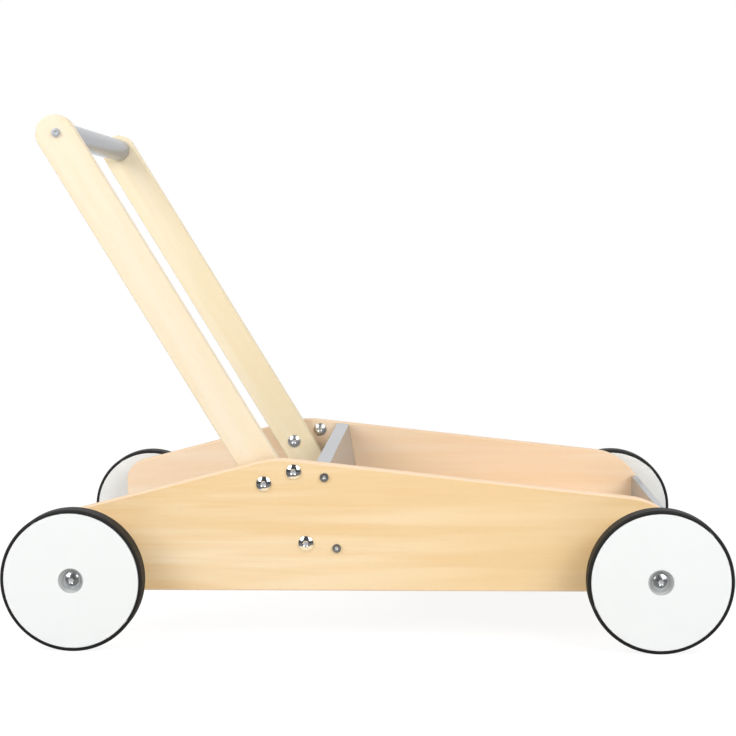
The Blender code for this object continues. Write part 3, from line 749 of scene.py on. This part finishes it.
class WALKER_OT_panels(bpy.types.Operator):
    """Makes the floor, the leaning divider and the front panel"""
    bl_idname = "walker.panels"
    bl_label = "Floor, Divider and Front"

    def execute(self, context):
        sizes = context.scene.walker_sizes
        self.panel("floor_panel", self.square("floor_panel"), sizes.floor_edge, [], "birch_floor")
        for panel, corners in (("divider", self.leaning(sizes)), ("front", self.square("front_panel"))):
            node = panel + "_panel"
            self.panel(node, corners, sizes.paint_edge, self.screw_holes(sizes, panel, node), "grey_gloss")
        return {'FINISHED'}

    def square(self, node):
        low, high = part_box(node)
        corners = ((low.x, low.z), (low.x, high.z), (high.x, high.z), (high.x, low.z))
        return [Vector(corner) for corner in corners]

    def leaning(self, sizes):
        """Corners of the divider, whose top follows the front slope of the boards."""
        low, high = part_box("divider_panel")
        slant = math.tan(sizes.divider_lean)
        slope = math.tan(sizes.front_slope)
        rear_foot = Vector((low.x + slant * (high.z - low.z), low.z))
        drop = slope * (high.x - rear_foot.x) / (1 - slant * slope)
        front_top = Vector((low.x + drop / slope, high.z - drop))
        return [rear_foot, Vector((low.x, high.z)), front_top, Vector((high.x, low.z))]

    def screw_holes(self, sizes, panel, node):
        """Blind holes in the panel's ends, as deep as its screws."""
        past = outer_level(node) * 2
        holes = []
        for word, side in SIDES.items():
            for screw in panel_screws(word, panel):
                spot = middle(screw)
                tip = inner_level(screw) - sizes.clearance
                span = sorted((side * tip, side * past))
                holes.append((spot.x, spot.z, sizes.screw_shank + sizes.clearance, *span))
        return holes

    def panel(self, node, corners, edge, holes, material):
        low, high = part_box(node)
        bm = blank(corners, [0] * len(corners), low.y, high.y, edge)
        if holes:
            bm = drilled(bm, holes)
        finish(node, bm, finish_named(material))


class WALKER_OT_wheels(bpy.types.Operator):
    """Turns the four wheel discs, tyres and bushes"""
    bl_idname = "walker.wheels"
    bl_label = "Wheels"

    def execute(self, context):
        sizes = context.scene.walker_sizes
        for end in ENDS:
            for word, side in SIDES.items():
                corner = f"{end}_{word}_"
                face = middle(corner + "wheel_disc")
                face.y = side * outer_level(corner + "wheel_disc")
                self.disc(sizes, corner, face, side)
                self.tyre(sizes, corner, face, side)
                make_ring(sizes, corner + "wheel_bush", side, "pale_nylon")
        return {'FINISHED'}

    def disc(self, sizes, corner, face, side):
        """A disc with a recess around its bush, whose faces are painted grey as shade."""
        node = corner + "wheel_disc"
        span = reach(node)
        bore = reach(corner + "wheel_bush").x / 2 + sizes.clearance
        rim = span.x / 2
        corners = [(bore, -sizes.hub_depth, 0), (sizes.hub_radius, -sizes.hub_depth, sizes.hub_edge),
                   (sizes.hub_radius, 0, sizes.hub_edge), (rim, 0, sizes.disc_edge),
                   (rim, -span.y, sizes.disc_edge), (bore, -span.y, 0)]
        bm = turned(corners, WHEEL_STEPS)
        # the recess's faces take the grey of painted shade
        for item in bm.faces:
            spot = item.calc_center_median()
            sunk = -sizes.hub_depth - TOLERANCE < spot.z < -sizes.hub_edge
            if sunk and spot.xy.length < sizes.hub_radius:
                item.material_index = INSET
        finish(node, aimed(bm, face, side), finish_named("white_satin"), finish_named("recess_painted_shade"))

    def tyre(self, sizes, corner, face, side):
        """A band around the disc, with rounded shoulders."""
        node = corner + "tyre"
        span = reach(node)
        inner = reach(corner + "wheel_disc").x / 2 + sizes.clearance
        outer = span.x / 2
        corners = [(inner, 0, 0), (outer, 0, sizes.tread_round), (outer, -span.y, sizes.tread_round),
                   (inner, -span.y, 0)]
        bm = turned(corners, WHEEL_STEPS)
        finish(node, aimed(bm, face, side), finish_named("black_rubber"))


class WALKER_OT_axles(bpy.types.Operator):
    """Turns the axle bolts, their spacers and the threaded inserts"""
    bl_idname = "walker.axles"
    bl_label = "Axles"

    def execute(self, context):
        sizes = context.scene.walker_sizes
        bolt = Fastener(sizes.axle_head, sizes.head_rim, sizes.bolt_shank, sizes.bolt_socket,
                        sizes.bolt_socket_depth)
        for end in ENDS:
            for word, side in SIDES.items():
                corner = f"{end}_{word}_"
                make_fastener(sizes, bolt, corner + "axle_bolt", side, "soft_zinc")
                make_ring(sizes, corner + "axle_spacer", side, "pale_nylon")
                make_ring(sizes, corner + "axle_insert", side, "bright_zinc")
        return {'FINISHED'}


class WALKER_OT_handle(bpy.types.Operator):
    """Makes the two slats and the push bar"""
    bl_idname = "walker.handle"
    bl_label = "Handle"

    def execute(self, context):
        sizes = context.scene.walker_sizes
        for word in SIDES:
            self.slat(sizes, word)
        self.bar(sizes)
        return {'FINISHED'}

    def slat(self, sizes, word):
        """A straight slat with round ends, leaned back about the pivot and drilled."""
        lean, pivot, length = handle_lean()
        node = word + "_handle_slat"
        low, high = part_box(node)
        span = high - low
        radius = (span.x - length * math.sin(lean)) / 2
        bm = bmesh.new()
        bmesh.ops.create_circle(bm, cap_ends=True, segments=SLAT_STEPS, radius=radius)
        upper = [vert for vert in bm.verts if vert.co.y > 0]
        bmesh.ops.translate(bm, verts=upper, vec=(0, length, 0))
        bmesh.ops.rotate(bm, verts=bm.verts[:], cent=(0, 0, 0), matrix=Matrix.Rotation(QUARTER_TURN, 3, 'X'))
        thicken(bm, span.y, sizes.wood_edge)
        bmesh.ops.rotate(bm, verts=bm.verts[:], cent=(0, 0, 0), matrix=Matrix.Rotation(-lean, 3, 'Y'))
        foot = Vector((high.x - radius, low.y, low.z + radius))
        bmesh.ops.translate(bm, verts=bm.verts[:], vec=foot)
        sleeve = sizes.bolt_shank + sizes.clearance + sizes.nut_wall
        drills = [(pivot, sizes.bolt_shank), (middle("handle_bar"), sizes.screw_shank),
                  (middle(word + "_lock_sleeve_nut"), sleeve)]
        bm = drilled(bm, through_holes(sizes, drills, low, high))
        # each slat takes its own copy of the birch, of painted light
        finish(node, bm, finish_named(word + "_birch_painted_light"))

    def bar(self, sizes):
        """A turned bar with a blind hole and a shadow line at each end."""
        half = outer_level("handle_bar")
        radius = reach("handle_bar").x / 2
        bore = sizes.screw_shank + sizes.clearance
        blind = inner_level("left_bar_screw") - sizes.clearance
        neck = radius - sizes.bar_neck
        shoulder = half - sizes.bar_gap
        upper = [(0, blind, 0), (bore, blind, 0), (bore, half, 0), (neck, half, 0), (neck, shoulder, 0),
                 (radius, shoulder, sizes.bar_edge)]
        lower = [(across, -along, rounding) for across, along, rounding in reversed(upper)]
        bm = turned(upper + lower, BAR_STEPS)
        finish("handle_bar", aimed(bm, middle("handle_bar"), SIDES["left"]), finish_named("grey_gloss"))


class WALKER_OT_handle_bolts(bpy.types.Operator):
    """Turns the bolts, nuts and washers that hold the handle"""
    bl_idname = "walker.handle_bolts"
    bl_label = "Handle Bolts"

    def execute(self, context):
        sizes = context.scene.walker_sizes
        bolt = Fastener(sizes.bolt_head, sizes.head_rim, sizes.bolt_shank, sizes.bolt_socket,
                        sizes.bolt_socket_depth)
        for word, side in SIDES.items():
            for name in HANDLE_BOLTS:
                make_fastener(sizes, bolt, f"{word}_{name}_bolt", side, "bright_zinc")
            for name in ("pivot", "upright"):
                self.cap_nut(sizes, bolt, f"{word}_{name}_nut", side)
            for name in ("pivot", "recline"):
                make_ring(sizes, f"{word}_{name}_washer", side, "pale_nylon")
            self.sleeve_nut(sizes, bolt, word + "_lock_sleeve_nut", side)
        return {'FINISHED'}

    def cap_nut(self, sizes, bolt, node, side):
        """A domed nut on a bolt's inner end, with no shank."""
        span = reach(node)
        place = middle(node)
        place.y = side * outer_level(node)
        nut = bolt._replace(head=span.y, shank=0, depth=sizes.nut_socket_depth)
        bore = (sizes.bolt_shank + sizes.clearance, sizes.nut_bore_depth)
        bm = headed(sizes, nut, span.x / 2, 0, bore)
        finish(node, aimed(bm, place, -side), *metal("dull_zinc"))

    def sleeve_nut(self, sizes, bolt, node, side):
        """A nut with a long sleeve, set in a slat from within."""
        span = reach(node)
        length = span.y - sizes.bolt_head
        place = middle(node)
        place.y = side * (inner_level(node) + sizes.bolt_head)
        bore = sizes.bolt_shank + sizes.clearance
        nut = bolt._replace(shank=bore + sizes.nut_wall)
        bm = headed(sizes, nut, span.z / 2, length, (bore, length - sizes.nut_wall))
        finish(node, aimed(bm, place, -side), *metal("dull_zinc"))


class WALKER_OT_screws(bpy.types.Operator):
    """Turns the screws in the panels and in the ends of the push bar"""
    bl_idname = "walker.screws"
    bl_label = "Screws"

    def execute(self, context):
        sizes = context.scene.walker_sizes
        screw = Fastener(sizes.screw_head, sizes.screw_rim, sizes.screw_shank, sizes.screw_socket,
                         sizes.screw_socket_depth)
        for word, side in SIDES.items():
            for panel in SCREWED_PANELS:
                for node in panel_screws(word, panel):
                    make_fastener(sizes, screw, node, side, "dull_zinc")
            # the bar's screws take the paler zinc of painted light
            make_fastener(sizes, screw, word + "_bar_screw", side, "satin_zinc_painted_light")
        return {'FINISHED'}


class WALKER_OT_stage(bpy.types.Operator):
    """Sets up the floor, the light and the camera"""
    bl_idname = "walker.stage"
    bl_label = "Stage"

    def execute(self, context):
        studio = context.scene.walker_studio
        context.scene.view_settings.view_transform = 'Standard'
        self.floor(studio)
        self.sky(context, studio)
        self.softboxes(context, studio)
        self.camera(context, studio)
        return {'FINISHED'}

    def darker_for_gloss(self, tree, level):
        """1 for the camera, and this level for what shines."""
        camera_ray = made_node(tree, "ShaderNodeLightPath").outputs["Is Camera Ray"]
        return worked_out(tree, 'MAXIMUM', level, camera_ray)

    def show(self, tree, lighting, seen, output):
        """Puts out one shader for the light it throws, and one for the camera, gloss and glass."""
        rays = made_node(tree, "ShaderNodeLightPath").outputs
        shining = worked_out(tree, 'MAXIMUM', rays["Is Camera Ray"], rays["Is Glossy Ray"])
        directly = worked_out(tree, 'MAXIMUM', shining, rays["Is Transmission Ray"])
        shown = made_node(tree, "ShaderNodeMixShader",
                          {0: directly, 1: lighting.outputs[0], 2: seen.outputs[0]})
        feed(tree, tree.nodes[output], {"Surface": shown.outputs[0]})

    def floor(self, studio):
        """A white floor with a faint shadow near the walker."""
        bm = bmesh.new()
        bmesh.ops.create_grid(bm, x_segments=2, y_segments=2, size=studio.floor_size / 2)
        floor = new_object(bm, "studio_floor")
        material, tree, shader = new_finish("studio_floor")
        tree.nodes.remove(shader)
        spot = made_node(tree, "ShaderNodeTexCoord").outputs["Object"]
        span = made_node(tree, "ShaderNodeVectorMath", {"Vector": spot}, operation='LENGTH')
        away = span.outputs["Value"]
        tint, strength = self.gloss_on_floor(tree, studio, spot)
        lit = between(tree, away, *SHADOW_FADE, studio.floor_glow, 1.0)
        glow = made_node(tree, "ShaderNodeEmission",
                         {"Color": mixed(tree, 1.0, tint, lit, 'MULTIPLY'), "Strength": strength})
        shade = made_node(tree, "ShaderNodeBsdfDiffuse",
                          {"Color": between(tree, away, *SHADOW_FADE, studio.floor_shade, 0.0)})
        white = made_node(tree, "ShaderNodeAddShader", {0: glow.outputs[0], 1: shade.outputs[0]})
        plain = made_node(tree, "ShaderNodeBsdfDiffuse", {"Color": studio.floor_plain})
        self.show(tree, plain, white, "Material Output")
        floor.data.materials.append(material)

    def gloss_on_floor(self, tree, studio, spot):
        """The floor's tint and strength, white and 1 for the camera.

        Polished metal sees painted shade on it under the walker and far before it, and a painted warm
        reflection of the boards' bounce light before the boards.
        """
        axes = made_node(tree, "ShaderNodeSeparateXYZ", {"Vector": spot}).outputs
        along = worked_out(tree, 'ABSOLUTE', axes["X"])
        aside = worked_out(tree, 'ABSOLUTE', axes["Y"])
        by_wheels = between(tree, along, *WHEEL_EDGE)
        ahead = worked_out(tree, 'SUBTRACT', axes["Y"], within(tree, by_wheels, 0, WHEEL_CUT))
        # painted shade under the walker, and painted dark far before it
        under = between(tree, aside, *UNDER_EDGE, studio.painted_under_shade, 1.0)
        front = between(tree, ahead, *FRONT_EDGE, studio.dim_side, 1.0)
        level = self.darker_for_gloss(tree, worked_out(tree, 'MINIMUM', under, front))
        # painted warm reflection of the boards' bounce light before the boards
        inwards = between(tree, axes["Y"], *WARM_EDGE)
        neutral = self.darker_for_gloss(tree, worked_out(tree, 'MAXIMUM', inwards, by_wheels))
        tint = mixed(tree, neutral, studio.painted_bounce_reflection, WHITE)
        return tint, worked_out(tree, 'MULTIPLY', level, within(tree, neutral, studio.painted_bounce_level, 1.0))

    def sky(self, context, studio):
        """Even light, a white background, and a dim side behind the camera that only gloss shows."""
        world = bpy.data.worlds.new("studio_sky")
        world.use_nodes = True
        context.scene.world = world
        tree = world.node_tree
        light = tree.nodes["Background"]
        feed(tree, light, {"Color": WHITE, "Strength": studio.sky_light})
        way = made_node(tree, "ShaderNodeTexCoord").outputs["Generated"]
        across = made_node(tree, "ShaderNodeSeparateXYZ", {"Vector": way}).outputs["Y"]
        level = self.darker_for_gloss(tree, between(tree, across, *SKY_FADE, studio.dim_side, 1.0))
        white = made_node(tree, "ShaderNodeBackground", {"Color": WHITE, "Strength": level})
        self.show(tree, light, white, "World Output")

    def softboxes(self, context, studio):
        """Two softboxes in front, and a weaker one behind that gloss doesn't show."""
        target = (Vector(CAD_BOX[0]) + Vector(CAD_BOX[1])) / 2
        lamps = {"left": (studio.left_lamp, studio.lamp_power),
                 "right": (studio.right_lamp, studio.lamp_power),
                 "fill": (studio.fill_lamp, studio.fill_power)}
        for word, (place, power) in lamps.items():
            lamp = bpy.data.lights.new(word + "_softbox", 'AREA')
            lamp.energy = power
            lamp.shape = 'RECTANGLE'
            lamp.size = studio.lamp_width
            lamp.size_y = studio.lamp_height
            item = bpy.data.objects.new(word + "_softbox", lamp)
            context.scene.collection.objects.link(item)
            item.location = place
            item.rotation_euler = (target - item.location).to_track_quat('-Z', 'Y').to_euler()
            item.visible_camera = False
            item.visible_glossy = word != "fill"

    def camera(self, context, studio):
        """Stands the camera where the photograph shows the walker from."""
        data = bpy.data.cameras.new("photo_camera")
        data.lens = studio.camera_lens
        camera = bpy.data.objects.new("photo_camera", data)
        context.scene.collection.objects.link(camera)
        level = Matrix.Rotation(QUARTER_TURN, 4, 'X')
        turn = Matrix.Rotation(studio.camera_yaw, 4, 'Z') @ Matrix.Rotation(studio.camera_pitch, 4, 'X')
        turn = turn @ Matrix.Rotation(studio.camera_roll, 4, 'Y') @ level
        camera.matrix_world = Matrix.Translation(studio.camera_place) @ turn
        context.scene.camera = camera


OPERATORS = (WALKER_OT_side_boards, WALKER_OT_panels, WALKER_OT_wheels, WALKER_OT_axles, WALKER_OT_handle,
             WALKER_OT_handle_bolts, WALKER_OT_screws, WALKER_OT_stage)


class WALKER_PT_pieces(bpy.types.Panel):
    """Lists the walker's operators"""
    bl_label = "Push Walker"
    bl_idname = "WALKER_PT_pieces"
    bl_space_type = 'VIEW_3D'
    bl_region_type = 'UI'
    bl_category = "Walker"

    def draw(self, context):
        for operator in OPERATORS:
            self.layout.operator(operator.bl_idname)


GROUPS = {"walker_sizes": WalkerSizes, "walker_colours": WalkerColours, "walker_studio": WalkerStudio}
CLASSES = (*GROUPS.values(), *OPERATORS, WALKER_PT_pieces)


def register():
    for item in CLASSES:
        bpy.utils.register_class(item)
    for name, group in GROUPS.items():
        setattr(bpy.types.Scene, name, PointerProperty(type=group))


def unregister():
    for name in GROUPS:
        delattr(bpy.types.Scene, name)
    for item in reversed(CLASSES):
        bpy.utils.unregister_class(item)


def main():
    register()
    bpy.ops.walker.side_boards()
    bpy.ops.walker.panels()
    bpy.ops.walker.wheels()
    bpy.ops.walker.axles()
    bpy.ops.walker.handle()
    bpy.ops.walker.handle_bolts()
    bpy.ops.walker.screws()
    bpy.ops.walker.stage()


if __name__ == "__main__":
    main()
